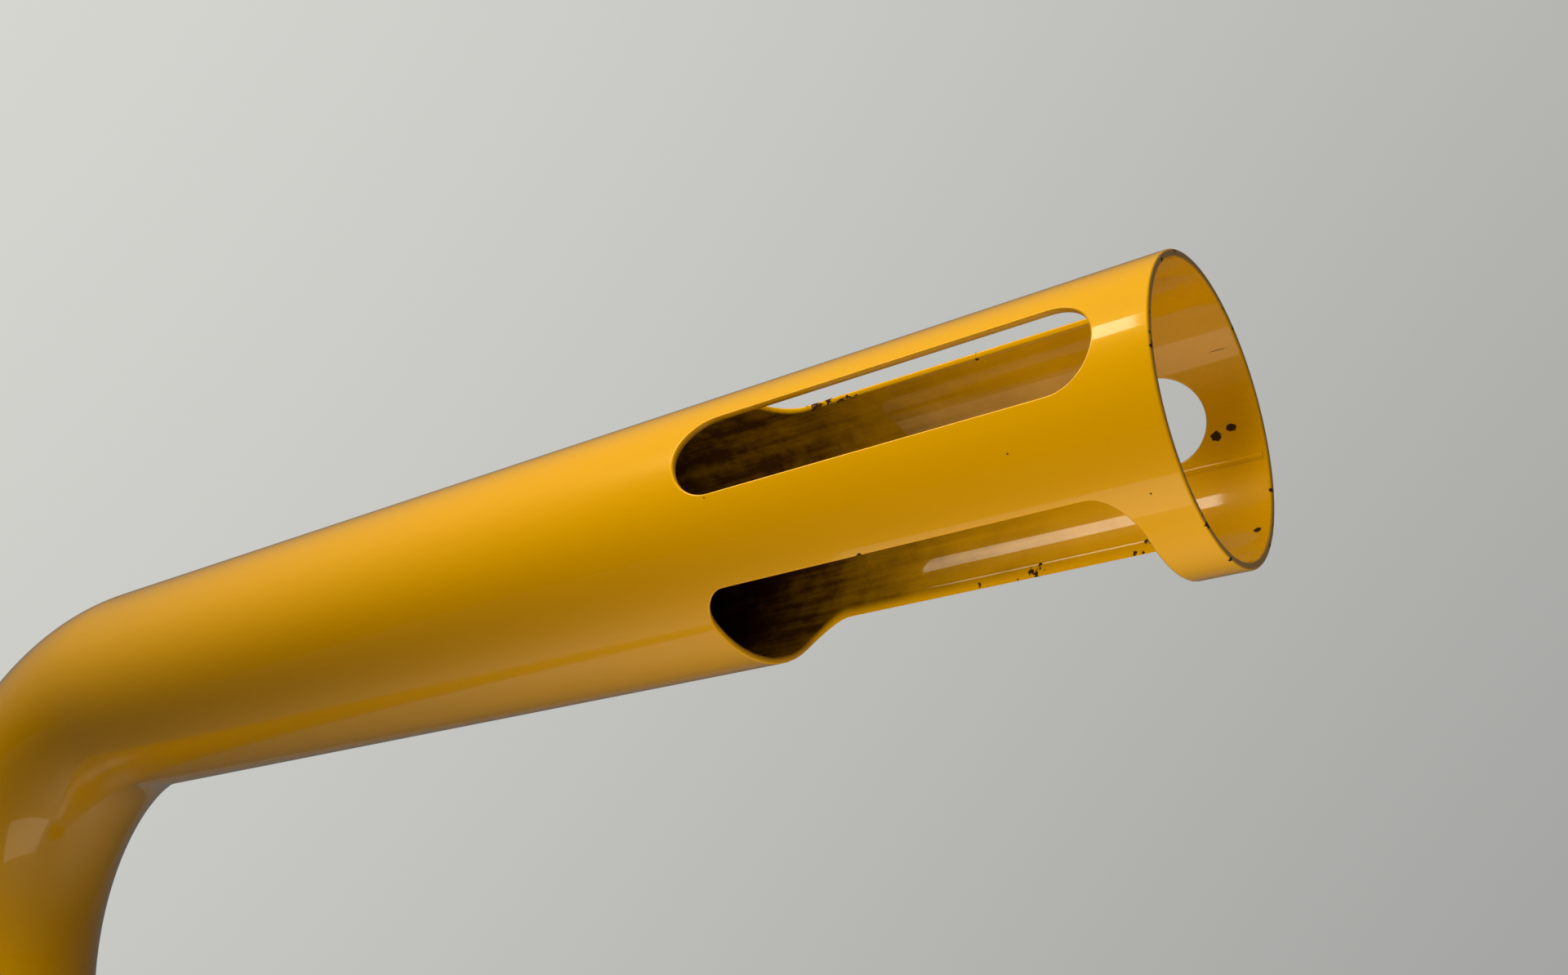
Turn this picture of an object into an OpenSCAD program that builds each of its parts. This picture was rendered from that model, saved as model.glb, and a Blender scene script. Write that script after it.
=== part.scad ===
// Cane-shaped steel post with a slotted, open lamp head, on a bolt-down flange. The post is one
// tube, drawn as three solids that meet face to face: leg, elbow and arm.
// +Z is up, the arm runs along +X, and the origin is the centre of the flange's underside.
// Lengths are in millimetres.

/* [Tube] */
// Outer diameter of the post's tube
tube_d = 60; // [48:1:76]
// Wall of the tube
tube_wall = 1.6; // [1.2:0.1:2.6]
// Height of the arm's axis above the ground
arm_height = 900; // [600:10:1200]
// Straight length of the arm, from the bend to the open mouth
arm_length = 333; // [280:1:420]
// Radius of the bend, at the tube's axis
bend_r = 85; // [80:1:120]

/* [Head openings] */
// Plain collar between the mouth and the openings
collar_length = 10.5; // [8:0.5:20]
// Length of the slots and of the window
opening_length = 93; // [70:1:110]
// Width of each narrow slot
slot_width = 18.4; // [12:0.1:20]
// Angle between the top slot and each side slot
slot_pitch = 72; // [68:1:76]
// Width of the window that faces down
window_width = 47.2; // [38:0.1:48]
// Corner radius of the window
window_corner = 7.2; // [4:0.1:12]

/* [Base] */
// Diameter of the flange
flange_d = 200; // [180:1:260]
// Thickness of the flange
flange_t = 12; // [8:1:20]
// Diameter of the circle through the anchor holes
anchor_pcd = 160; // [130:1:164]
// Diameter of an anchor hole
anchor_hole_d = 14; // [10:0.5:18]
// Diameter of the cable hole in the flange
cable_hole_d = 36; // [30:1:40]
// Leg of the fillet weld between tube and flange
weld_leg = 6; // [3:0.5:8]
// Inner diameter of the cable grommet
grommet_bore_d = 28; // [20:1:28]

/* [Service door] */
// Height of the door's middle above the ground
door_z = 230; // [180:1:400]
// Height of the hand hole in the tube
hatch_h = 140; // [130:1:180]
// Width of the hand hole
hatch_w = 40; // [36:1:42]
// Corner radius of the hand hole
hatch_corner = 9; // [5:1:12]
// How far the door laps over the tube round the hand hole
door_lap = 6; // [4:0.5:6]
// Thickness of the door
door_t = 2; // [1.5:0.1:3]
// Thickness of the door's gasket
gasket_t = 1.5; // [1:0.1:2.5]
// Thread diameter of the door's screws
door_screw_d = 5; // [4:0.5:6]
// Distance from the hand hole's end to a door screw
door_screw_inset = 8; // [7:0.5:10]

/* [Gear] */
// Thickness of the lugs behind the hand hole
lug_t = 4; // [3:0.5:5]
// Width of a lug
lug_w = 20; // [18:1:24]
// Thickness of the gear tray's sheet
tray_t = 1.5; // [1:0.1:2]
// Width of the gear tray
tray_w = 32; // [28:1:36]
// Depth of the tray behind the lugs
tray_depth = 10; // [9:0.5:12]
// Thread diameter of the tray's screws
tray_screw_d = 4; // [3:0.5:4]
// Distance from a door screw to the tray screw beside it
tray_screw_gap = 12; // [11:0.5:14]
// Distance between the poles of the terminal block
pole_pitch = 11; // [10:0.5:13]
// Number of poles of the terminal block
poles = 3; // [2:1:4]
// Width of the terminal block
block_w = 24; // [20:1:26]
// Depth of the terminal block
block_depth = 10; // [9:0.5:11]
// Outer diameter of a terminal clamp
clamp_d = 5.6; // [4.5:0.1:6]
// Thread diameter of the earth stud
earth_d = 5; // [4:0.5:6]

/* [Lamp holder] */
// Distance from the mouth to the lamp holder's front edge
holder_s = 152; // [140:1:170]
// Outer diameter of the holder's shell
holder_d = 38; // [36:1:42]
// Length of the holder's shell
holder_length = 46; // [44:1:54]
// Wall of the holder's shell
holder_wall = 2; // [1.5:0.1:2.5]
// Inner diameter of the threaded brass shell, at its crests
lamp_thread_d = 26.4; // [26:0.1:27]
// Outer diameter of the threaded stem
nipple_d = 10; // [9:0.5:12]
// Thickness of the spring dish that grips the tube
dish_t = 1; // [0.8:0.1:1.5]

/* [Hidden] */
$fn = 96;

cut = 1;              // how far a cutter runs past the face that it opens
fit_gap = 0.1;        // gap between pieces that are fixed to each other
run_gap = 0.3;        // gap between the door's pieces and the post

tube_r = tube_d / 2;
bore_r = tube_r - tube_wall;
mouth_x = bend_r + arm_length;
leg_top = arm_height - bend_r;

// Service door: radii of its layers, from the tube outwards
gasket_in_r = tube_r + run_gap;
gasket_out_r = gasket_in_r + gasket_t;
door_in_r = gasket_out_r + fit_gap / 2;
door_out_r = door_in_r + door_t;
door_screw_z = hatch_h / 2 - door_screw_inset;
screw_head_t = 2.6;

// Lugs: flat bars whose long edges rest on the tube's inner wall
lug_face_x = sqrt(pow(bore_r - fit_gap, 2) - pow(lug_w / 2, 2));
lug_back_x = lug_face_x - lug_t;
tray_screw_z = door_screw_z - tray_screw_gap;
lug_low = tray_screw_z - tray_screw_d * 1.5;
lug_high = hatch_h / 2 + 14;

// Tray: a plate with a joggled tab at each end, which lies on the lugs' backs
tab_end_z = tray_screw_z + tray_screw_d * 1.3;
web_z = tray_screw_z - tray_screw_d * 1.5;
tray_face_x = lug_back_x - tray_depth;
tray_hole_r = tray_screw_d / 2 + 0.2;
tray_head_t = 2;

// Terminal block: poles stacked up the tray
block_h = poles * pole_pitch + 2;
block_z = 14;
clamp_x = tray_face_x + block_depth * 0.45;
clamp_len = block_w - 3;
clamp_screw_d = 2.6;
clamp_screw_y = block_w / 4;
wire_hole_d = 3.2;

// Earth stud: below the block
earth_z = -24;
earth_nut_t = 4;
earth_washer_t = 1;
earth_washer_r = earth_d * 1.1;
earth_nut_r = earth_d * 0.92;

// Lamp holder: places along the arm, counted from the mouth
holder_back = holder_s + holder_length;
insert_t = 16;
insert_s = holder_back - holder_wall - fit_gap - insert_t;
insert_r = holder_d / 2 - holder_wall - fit_gap;
shell_out_r = lamp_thread_d / 2 + 1.6;
shell_length = 24;
shell_t = 0.5;
dish_s = holder_back + 7;
dish_leg = 16;
nipple_bore_d = 7;
nut_t = 3.5;
contact_t = 0.8;
wire_screw_d = 3.5;

// Places its children in the arm's frame: +Z from the mouth to the bend, +X up
module in_arm() {
    translate([mouth_x, 0, arm_height]) rotate([0, -90, 0]) children();
}

// Places its children on the service door: +X out of the tube at the back, the middle at z 0
module at_door() {
    translate([0, 0, door_z]) rotate([0, 0, 180]) children();
}

// A bar along +X whose section is a rectangle with round corners, from x0 to x1
module round_bar(x0, x1, w, h, corner) {
    for (side = [-1, 1]) {
        for (end = [-1, 1]) {
            translate([x0, side * (w / 2 - corner), end * (h / 2 - corner)])
                rotate([0, 90, 0]) cylinder(r = corner, h = x1 - x0);
        }
    }
    translate([x0, -w / 2 + corner, -h / 2]) cube([x1 - x0, w - 2 * corner, h]);
    translate([x0, -w / 2, -h / 2 + corner]) cube([x1 - x0, w, h - 2 * corner]);
}

// A bar along +X whose section is a slot with full round ends, standing along Z
module slot_bar(x1, w, h) {
    for (end = [-1, 1]) {
        translate([0, 0, end * (h - w) / 2]) rotate([0, 90, 0]) cylinder(d = w, h = x1);
    }
    translate([0, -w / 2, -(h - w) / 2]) cube([x1, w, h - w]);
}

// A button-head screw along -X: head outside x, shank from x inwards
module button_screw(x, d, head_d, head_t, shank) {
    translate([x, 0, 0]) rotate([0, 90, 0]) difference() {
        union() {
            cylinder(d = head_d, h = head_t * 0.45);
            translate([0, 0, head_t * 0.45])
                cylinder(d1 = head_d, d2 = head_d * 0.6, h = head_t * 0.55);
            translate([0, 0, -shank]) cylinder(d = d, h = shank);
        }
        translate([0, 0, head_t * 0.35]) cylinder(d = d * 0.62, h = head_t, $fn = 6);
    }
}

// A straight tube along +Z, of the post's own section
module tube(length) {
    difference() {
        cylinder(r = tube_r, h = length);
        translate([0, 0, -cut]) cylinder(r = bore_r, h = length + 2 * cut);
    }
}

module leg_tube() {
    color("#f2ad00") difference() {
        translate([0, 0, flange_t]) tube(leg_top - flange_t);
        at_door() round_bar(0, tube_r + cut, hatch_w, hatch_h, hatch_corner);
    }
}

module elbow() {
    color("#f2ad00") translate([bend_r, 0, leg_top])
        rotate([90, 0, 0]) rotate([0, 0, 90]) rotate_extrude(angle = 90) translate([bend_r, 0])
            difference() {
                circle(r = tube_r);
                circle(r = bore_r);
            }
}

module arm_tube() {
    color("#f2ad00") in_arm() difference() {
        tube(arm_length);
        translate([0, 0, collar_length + opening_length / 2]) {
            for (turn = [-slot_pitch, 0, slot_pitch]) {
                rotate([0, 0, turn]) slot_bar(tube_r + cut, slot_width, opening_length);
            }
            rotate([0, 0, 180])
                round_bar(0, tube_r + cut, window_width, opening_length, window_corner);
        }
    }
}

module base_flange() {
    edge = 1.5;
    color("#f2ad00") difference() {
        union() {
            cylinder(d = flange_d, h = flange_t - edge);
            translate([0, 0, flange_t - edge])
                cylinder(d1 = flange_d, d2 = flange_d - 2 * edge, h = edge);
        }
        translate([0, 0, -cut]) cylinder(d = cable_hole_d, h = flange_t + 2 * cut);
        for (turn = [45 : 90 : 315]) {
            rotate([0, 0, turn]) translate([anchor_pcd / 2, 0, -cut])
                cylinder(d = anchor_hole_d, h = flange_t + 2 * cut);
        }
    }
}

module base_weld() {
    weld_in_r = tube_r + fit_gap / 2;
    color("#f2ad00") rotate_extrude() polygon([
        [weld_in_r, flange_t],
        [weld_in_r + weld_leg, flange_t],
        [weld_in_r + weld_leg * 0.62, flange_t + weld_leg * 0.5],
        [weld_in_r, flange_t + weld_leg]]);
}

module cable_grommet() {
    lip = 3;
    neck_r = cable_hole_d / 2 - fit_gap;
    bore = grommet_bore_d / 2;
    color("#202020") rotate_extrude() polygon([
        [bore, 1],
        [neck_r, 1],
        [neck_r, flange_t + fit_gap],
        [neck_r + lip, flange_t + fit_gap],
        [neck_r + lip, flange_t + lip * 0.5],
        [neck_r + lip * 0.5, flange_t + lip],
        [bore, flange_t + lip]]);
}

// One curved layer of the door, between two radii, cut to a rectangle with round corners
module door_layer(in_r, out_r, w, h, corner) {
    intersection() {
        difference() {
            translate([0, 0, -h / 2 - cut]) cylinder(r = out_r, h = h + 2 * cut);
            translate([0, 0, -h / 2 - 2 * cut]) cylinder(r = in_r, h = h + 4 * cut);
        }
        round_bar(0, out_r + cut, w, h, corner);
    }
}

// Holes of radius r for the door's screws, along X
module door_screw_holes(r) {
    for (end = [-1, 1]) {
        translate([0, 0, end * door_screw_z]) rotate([0, 90, 0])
            cylinder(r = r, h = door_out_r + 10);
    }
}

module service_door() {
    color("#f2ad00") at_door() difference() {
        union() {
            door_layer(door_in_r, door_out_r, hatch_w + 2 * door_lap, hatch_h + 2 * door_lap,
                       hatch_corner + door_lap);
            for (end = [-1, 1]) {
                translate([door_out_r - door_t * 0.75, 0, end * door_screw_z]) rotate([0, 90, 0])
                    cylinder(d = door_screw_d * 2.6, h = door_t);
            }
        }
        door_screw_holes(door_screw_d / 2 + fit_gap);
    }
}

module door_gasket() {
    inset = 1;
    bead = 4;
    w = hatch_w + 2 * (door_lap - inset);
    h = hatch_h + 2 * (door_lap - inset);
    color("#1d1d1d") at_door() difference() {
        door_layer(gasket_in_r, gasket_out_r, w, h, hatch_corner + door_lap - inset);
        round_bar(0, tube_r * 2, w - 2 * bead, h - 2 * bead, hatch_corner);
    }
}

module door_screws() {
    seat_x = door_out_r + door_t * 0.25;
    color("#8a8c8e") at_door() for (end = [-1, 1]) {
        translate([0, 0, end * door_screw_z])
            button_screw(seat_x, door_screw_d, door_screw_d * 1.9, screw_head_t,
                         seat_x - lug_back_x + 1);
    }
}

module door_lugs() {
    color("#c9a227") at_door() for (end = [-1, 1]) {
        difference() {
            translate([lug_back_x, -lug_w / 2, end > 0 ? lug_low : -lug_high])
                cube([lug_t, lug_w, lug_high - lug_low]);
            translate([0, 0, end * door_screw_z]) rotate([0, 90, 0])
                cylinder(r = door_screw_d / 2 + fit_gap, h = tube_r);
            translate([0, 0, end * tray_screw_z]) rotate([0, 90, 0])
                cylinder(r = tray_hole_r, h = tube_r);
        }
    }
}

module gear_tray() {
    color("#b9bcbe") at_door() difference() {
        union() {
            translate([tray_face_x - tray_t, -tray_w / 2, -web_z])
                cube([tray_t, tray_w, 2 * web_z]);
            for (end = [-1, 1]) {
                translate([tray_face_x - tray_t, -lug_w / 2, end > 0 ? web_z - tray_t : -web_z])
                    cube([tray_depth + tray_t, lug_w, tray_t]);
                translate([lug_back_x - tray_t, -lug_w / 2, end > 0 ? web_z - tray_t : -tab_end_z])
                    cube([tray_t, lug_w, tab_end_z - web_z + tray_t]);
            }
        }
        for (end = [-1, 1]) {
            translate([0, 0, end * tray_screw_z]) rotate([0, 90, 0])
                cylinder(r = tray_hole_r, h = tube_r);
        }
        translate([-tube_r, 0, earth_z]) rotate([0, 90, 0])
            cylinder(r = earth_d / 2 + fit_gap, h = 2 * tube_r);
    }
}

module tray_screws() {
    color("#b9bcbe") at_door() for (end = [-1, 1]) {
        translate([0, 0, end * tray_screw_z])
            button_screw(lug_face_x, tray_screw_d, tray_screw_d * 1.7, tray_head_t,
                         lug_t + tray_t + 2);
    }
}

// Places its children at each pole of the terminal block
module at_poles() {
    for (pole = [0 : poles - 1]) {
        translate([0, 0, block_z + (pole - (poles - 1) / 2) * pole_pitch]) children();
    }
}

// Places its children at the two clamp screws of one pole
module at_clamp_screws() {
    for (side = [-1, 1]) {
        translate([clamp_x, side * clamp_screw_y, 0]) rotate([0, 90, 0]) children();
    }
}

module terminal_block() {
    color("#e8e6df") at_door() difference() {
        union() {
            translate([tray_face_x, -block_w / 2, block_z - block_h / 2])
                cube([block_depth * 0.7, block_w, block_h]);
            at_poles() translate([tray_face_x, -block_w / 2, -pole_pitch / 2 + 0.8])
                cube([block_depth, block_w, pole_pitch - 1.6]);
        }
        at_poles() {
            translate([clamp_x, block_w / 2 + cut, 0]) rotate([90, 0, 0])
                cylinder(d = clamp_d + 2 * fit_gap, h = block_w + 2 * cut);
            at_clamp_screws() cylinder(d = clamp_screw_d * 1.6, h = block_depth);
        }
    }
}

module terminal_clamps() {
    color("#c79a3a") at_door() at_poles() difference() {
        translate([clamp_x, clamp_len / 2, 0]) rotate([90, 0, 0]) cylinder(d = clamp_d, h = clamp_len);
        translate([clamp_x, clamp_len / 2 + cut, 0]) rotate([90, 0, 0])
            cylinder(d = wire_hole_d, h = clamp_len + 2 * cut);
        at_clamp_screws() cylinder(r = clamp_screw_d / 2 + fit_gap, h = clamp_d);
    }
}

module terminal_screws() {
    reach = block_depth * 0.5;
    color("#c79a3a") at_door() at_poles() at_clamp_screws() difference() {
        translate([0, 0, wire_hole_d / 4]) cylinder(d = clamp_screw_d, h = reach - wire_hole_d / 4);
        translate([-clamp_screw_d, -0.3, reach - 0.8]) cube([2 * clamp_screw_d, 0.6, 2]);
    }
}

module earth_stud() {
    color("#c79a3a") at_door() translate([tray_face_x, 0, earth_z]) rotate([0, 90, 0]) {
        translate([0, 0, -tray_t - 1.5]) cylinder(d = earth_d * 1.8, h = 1.5);
        translate([0, 0, -tray_t]) cylinder(d = earth_d, h = tray_t + 12);
    }
}

module earth_washers() {
    color("#b9bcbe") at_door() translate([tray_face_x, 0, earth_z]) rotate([0, 90, 0])
        for (lift = [0, earth_nut_t + earth_washer_t]) {
            translate([0, 0, lift]) difference() {
                cylinder(r = earth_washer_r, h = earth_washer_t);
                translate([0, 0, -cut]) cylinder(r = earth_d / 2 + fit_gap, h = earth_washer_t + 2 * cut);
            }
        }
}

// A hexagon nut of thickness t that stands on z 0
module hex_nut(r, t, hole_r) {
    difference() {
        cylinder(r = r, h = t, $fn = 6);
        translate([0, 0, -cut]) cylinder(r = hole_r, h = t + 2 * cut);
    }
}

module earth_nuts() {
    color("#c79a3a") at_door() translate([tray_face_x, 0, earth_z]) rotate([0, 90, 0])
        for (lift = [earth_washer_t, earth_nut_t + 2 * earth_washer_t]) {
            translate([0, 0, lift]) hex_nut(earth_nut_r, earth_nut_t, earth_d / 2 + fit_gap);
        }
}

module holder_bracket() {
    grip_r = bore_r - fit_gap;
    color("#9fa3a6") in_arm() difference() {
        translate([0, 0, dish_s - dish_leg]) cylinder(r = grip_r, h = dish_leg);
        translate([0, 0, dish_s - dish_leg - cut]) cylinder(r = grip_r - dish_t, h = dish_leg - dish_t + cut);
        translate([0, 0, dish_s - dish_leg - cut])
            cylinder(r = nipple_d / 2 + fit_gap, h = dish_leg + 2 * cut);
        for (turn = [0 : 120 : 240]) {
            rotate([0, 0, turn + 60]) translate([nipple_d, -grip_r * 0.45, dish_s - dish_leg - cut])
                cube([grip_r, grip_r * 0.9, dish_leg + 2 * cut]);
        }
    }
}

module holder_nipple() {
    color("#c79a3a") in_arm() translate([0, 0, insert_s + insert_t + fit_gap]) difference() {
        length = dish_s + nut_t + 4 - insert_s - insert_t - fit_gap;
        cylinder(d = nipple_d, h = length);
        translate([0, 0, -cut]) cylinder(d = nipple_bore_d, h = length + 2 * cut);
    }
}

module holder_locknut() {
    color("#c79a3a") in_arm() translate([0, 0, dish_s + fit_gap])
        hex_nut(nipple_d * 0.92, nut_t, nipple_d / 2 + fit_gap);
}

module holder_shell() {
    neck = dish_s - dish_t - fit_gap - holder_back;
    color("#26221f") in_arm() difference() {
        union() {
            translate([0, 0, holder_s]) cylinder(d = holder_d, h = holder_length);
            translate([0, 0, holder_s]) cylinder(d = holder_d + 3, h = 4);
            translate([0, 0, holder_back]) cylinder(d1 = holder_d, d2 = nipple_d * 1.7, h = neck);
        }
        translate([0, 0, holder_s - cut])
            cylinder(d = holder_d - 2 * holder_wall, h = holder_length - holder_wall + cut);
        translate([0, 0, holder_s]) cylinder(r = nipple_d / 2 + fit_gap, h = holder_length + neck + cut);
    }
}

// Places its children at the holder's two wire screws
module at_wire_screws() {
    for (side = [-1, 1]) {
        translate([0, side * insert_r * 0.62, 0]) children();
    }
}

module holder_insert() {
    color("#efece2") in_arm() difference() {
        translate([0, 0, insert_s]) cylinder(r = insert_r, h = insert_t);
        translate([0, 0, insert_s - cut]) cylinder(r = shell_out_r + fit_gap, h = 5 + cut);
        at_wire_screws() translate([0, 0, insert_s + insert_t - 5])
            cylinder(r = wire_screw_d / 2 + fit_gap, h = 6);
    }
}

module screw_shell() {
    crest = lamp_thread_d / 2;
    turns = 6;
    pitch = (shell_length - 3) / turns;
    color("#cda244") in_arm() translate([0, 0, insert_s + 5 - fit_gap - shell_length])
        rotate_extrude() polygon([
            for (i = [0 : turns]) for (half = [0, 1]) if (i < turns || half == 0)
                [crest + (half == 0 ? 0 : 1), 1 + (i + half / 2) * pitch],
            [crest, shell_length],
            [crest + shell_t, shell_length],
            for (i = [turns : -1 : 0]) for (half = [1, 0]) if (i < turns || half == 0)
                [crest + shell_t + (half == 0 ? 0 : 1), 1 + (i + half / 2) * pitch]]);
}

module centre_contact() {
    reach = 8;
    width = 6;
    seat = insert_s + 5;
    color("#c58a4a") in_arm() {
        translate([-reach, -width / 2, seat - contact_t]) cube([2 * reach, width, contact_t]);
        translate([-contact_t / 2, -width / 2, seat - 5]) cube([contact_t, width, 5]);
        translate([-3, -width / 2, seat - 5 - contact_t]) cube([6, width, contact_t]);
    }
}

module side_contact() {
    width = 5;
    gap_r = lamp_thread_d / 2 - 1.2;
    color("#c58a4a") in_arm() {
        translate([gap_r - contact_t, -width / 2, insert_s - 7]) cube([contact_t, width, 12]);
        translate([gap_r - 3, -width / 2, insert_s + 5 - contact_t]) cube([3, width, contact_t]);
    }
}

module holder_terminal_screws() {
    color("#c79a3a") in_arm() at_wire_screws() translate([0, 0, insert_s + insert_t - 4.8])
        cylinder(d = wire_screw_d, h = 4.7);
}

leg_tube();
elbow();
arm_tube();
base_flange();
base_weld();
cable_grommet();
service_door();
door_gasket();
door_screws();
door_lugs();
gear_tray();
tray_screws();
terminal_block();
terminal_clamps();
terminal_screws();
earth_stud();
earth_washers();
earth_nuts();
holder_bracket();
holder_nipple();
holder_locknut();
holder_shell();
holder_insert();
screw_shell();
centre_contact();
side_contact();
holder_terminal_screws();
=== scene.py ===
import math

import bmesh
import bpy
from mathutils import Matrix, Quaternion, Vector, geometry, noise


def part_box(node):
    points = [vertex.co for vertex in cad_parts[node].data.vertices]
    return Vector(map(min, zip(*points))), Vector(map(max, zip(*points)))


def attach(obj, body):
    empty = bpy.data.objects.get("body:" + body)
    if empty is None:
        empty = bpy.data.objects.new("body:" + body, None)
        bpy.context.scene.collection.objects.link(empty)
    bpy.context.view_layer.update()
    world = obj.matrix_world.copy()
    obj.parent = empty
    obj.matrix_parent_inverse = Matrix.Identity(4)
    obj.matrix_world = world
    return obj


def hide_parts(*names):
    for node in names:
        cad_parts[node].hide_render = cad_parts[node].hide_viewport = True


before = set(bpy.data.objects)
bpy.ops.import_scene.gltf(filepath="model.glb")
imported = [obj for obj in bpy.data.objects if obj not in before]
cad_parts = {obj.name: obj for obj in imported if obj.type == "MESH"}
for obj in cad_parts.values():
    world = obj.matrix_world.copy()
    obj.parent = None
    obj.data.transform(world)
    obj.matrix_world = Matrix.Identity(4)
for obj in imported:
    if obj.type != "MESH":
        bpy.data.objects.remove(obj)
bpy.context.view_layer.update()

# ---------------------------------------------------------------------------
# Camera and light: a phone held just below the head, looking up at it, in a pale
# room lit from above, through one small window, and by a pale card low down.
# ---------------------------------------------------------------------------
MM = 0.001
arm_low, arm_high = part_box("arm_tube")
leg_low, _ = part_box("leg_tube")
tube_r = (arm_high.z - arm_low.z) / 2
mouth = Vector((arm_high.x, 0, arm_high.z - tube_r))

phone = mouth + Vector((0.0745, -0.2488, -0.0824))
phone_aim = mouth + Vector((-0.0608, -0.0510, -0.0109))
phone_roll = -4.52

camera_data = bpy.data.cameras.new("phone_camera")
camera_data.lens = 33.1
camera_data.sensor_width = 36
camera_data.clip_start = 0.005
camera = bpy.data.objects.new("phone_camera", camera_data)
bpy.context.scene.collection.objects.link(camera)
bpy.context.scene.camera = camera
camera.location = phone
camera.rotation_mode = "QUATERNION"
upright = (phone_aim - phone).to_track_quat("-Z", "Y")
camera.rotation_quaternion = upright @ Quaternion((0, 0, 1), math.radians(phone_roll))

bpy.context.scene.view_settings.view_transform = "Standard"


def linear(hex_colour):
    """An sRGB hex colour as linear RGBA."""
    channels = [int(hex_colour[i:i + 2], 16) / 255 for i in (1, 3, 5)]
    return [c / 12.92 if c <= 0.04045 else ((c + 0.055) / 1.055) ** 2.4 for c in channels] + [1]


def put(tree, kind, inputs=None, **settings):
    """Adds a node. Settings are its properties; inputs are socket values, or sockets to link from."""
    node = tree.nodes.new(kind)
    for name, value in settings.items():
        setattr(node, name, value)
    for name, value in (inputs or {}).items():
        if isinstance(value, bpy.types.NodeSocket):
            tree.links.new(value, node.inputs[name])
        else:
            node.inputs[name].default_value = value
    return node


# Soft boxes: where each stands from the mouth, what it faces from there, its size, power and tint,
# and whether it shows as a highlight in the gloss. The three foot lights shine straight down, below
# the arm, on the part of the post that stands on the ground.
soft_boxes = {
    "near_below": ((0.02, -0.10, -0.20), (-0.03, 0, 0), (0.15, 0.15), 0.31, "#fffaf2", False),
    "near_top": ((-0.10, -0.20, 0.40), (-0.12, 0, 0), (0.4, 0.3), 2.9, "#fdfff8", False),
    "foot_front": ((-0.15, -0.40, -0.42), (-0.15, -0.40, -0.87), (0.4, 0.3), 0.9, "#ffffff", False),
    "foot_door_side": ((-0.80, 0.05, -0.42), (-0.80, 0.05, -0.87), (0.4, 0.3), 1.2, "#ffffff", False),
    "foot_back": ((-0.20, 0.45, -0.42), (-0.20, 0.45, -0.87), (0.4, 0.3), 0.7, "#ffffff", False),
    "small_window": ((-0.442, -0.445, 0.672), (-0.05, 0, 0), (0.36, 0.16), 1.25, "#fff2dc", True),
    "low_card": ((-0.34, -0.30, -0.68), (-0.03, 0, -0.01), (0.3, 0.35), 0.26, "#fff2dc", True),
}
for name, (place, target, size, power, tint, shows) in soft_boxes.items():
    light_data = bpy.data.lights.new(name, "AREA")
    light_data.shape = "RECTANGLE"
    light_data.size, light_data.size_y = size
    light_data.energy = power
    light_data.color = linear(tint)[:3]
    light = bpy.data.objects.new(name, light_data)
    bpy.context.scene.collection.objects.link(light)
    light.location = mouth + Vector(place)
    facing = (light.location - mouth - Vector(target)).normalized()
    along_tube = (Vector((1, 0, 0)) - facing * facing.x).normalized()
    turned_to = Matrix((along_tube, facing.cross(along_tube), facing)).transposed()
    light.rotation_mode = "QUATERNION"
    light.rotation_quaternion = turned_to.to_quaternion()
    light.visible_glossy = shows

# The room: painted plaster behind the post, lighter towards the upper left and greyer towards the
# lower right. It lights the post faintly from behind; the rest of the room gives no light.
room = bpy.data.worlds.new("pale_room")
bpy.context.scene.world = room
room.use_nodes = True
sky = room.node_tree
sky.nodes.clear()
way = put(sky, "ShaderNodeTexCoord").outputs["Generated"]
lighter_side = (-0.62, -0.42, 0.66)
slope = put(sky, "ShaderNodeVectorMath", {0: way, 1: lighter_side}, operation="DOT_PRODUCT")
shade = put(sky, "ShaderNodeMapRange", {"Value": slope.outputs["Value"], "From Min": -0.55, "From Max": 0.75})
wall_tone = put(sky, "ShaderNodeMix", {"Factor": shade.outputs["Result"], "A": linear("#9a9a98"),
                                       "B": linear("#d8d8d3")}, data_type="RGBA").outputs["Result"]
behind = put(sky, "ShaderNodeVectorMath", {0: way, 1: (phone_aim - phone).normalized()},
             operation="DOT_PRODUCT")
wall_reach = put(sky, "ShaderNodeMapRange", {"Value": behind.outputs["Value"], "From Min": -0.1,
                                             "From Max": 0.4, "To Max": 0.2})
lit = put(sky, "ShaderNodeMix", {"Factor": wall_reach.outputs["Result"], "A": (0, 0, 0, 1),
                                 "B": wall_tone}, data_type="RGBA").outputs["Result"]
ray = put(sky, "ShaderNodeLightPath")
seen = put(sky, "ShaderNodeMix", {"Factor": ray.outputs["Is Camera Ray"], "A": lit, "B": wall_tone},
           data_type="RGBA")
room_glow = put(sky, "ShaderNodeBackground", {"Color": seen.outputs["Result"], "Strength": 1.0})
put(sky, "ShaderNodeOutputWorld", {"Surface": room_glow.outputs["Background"]})


def new_material(name):
    """An empty node material and its tree."""
    material = bpy.data.materials.new(name)
    material.use_nodes = True
    material.node_tree.nodes.clear()
    return material, material.node_tree


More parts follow.
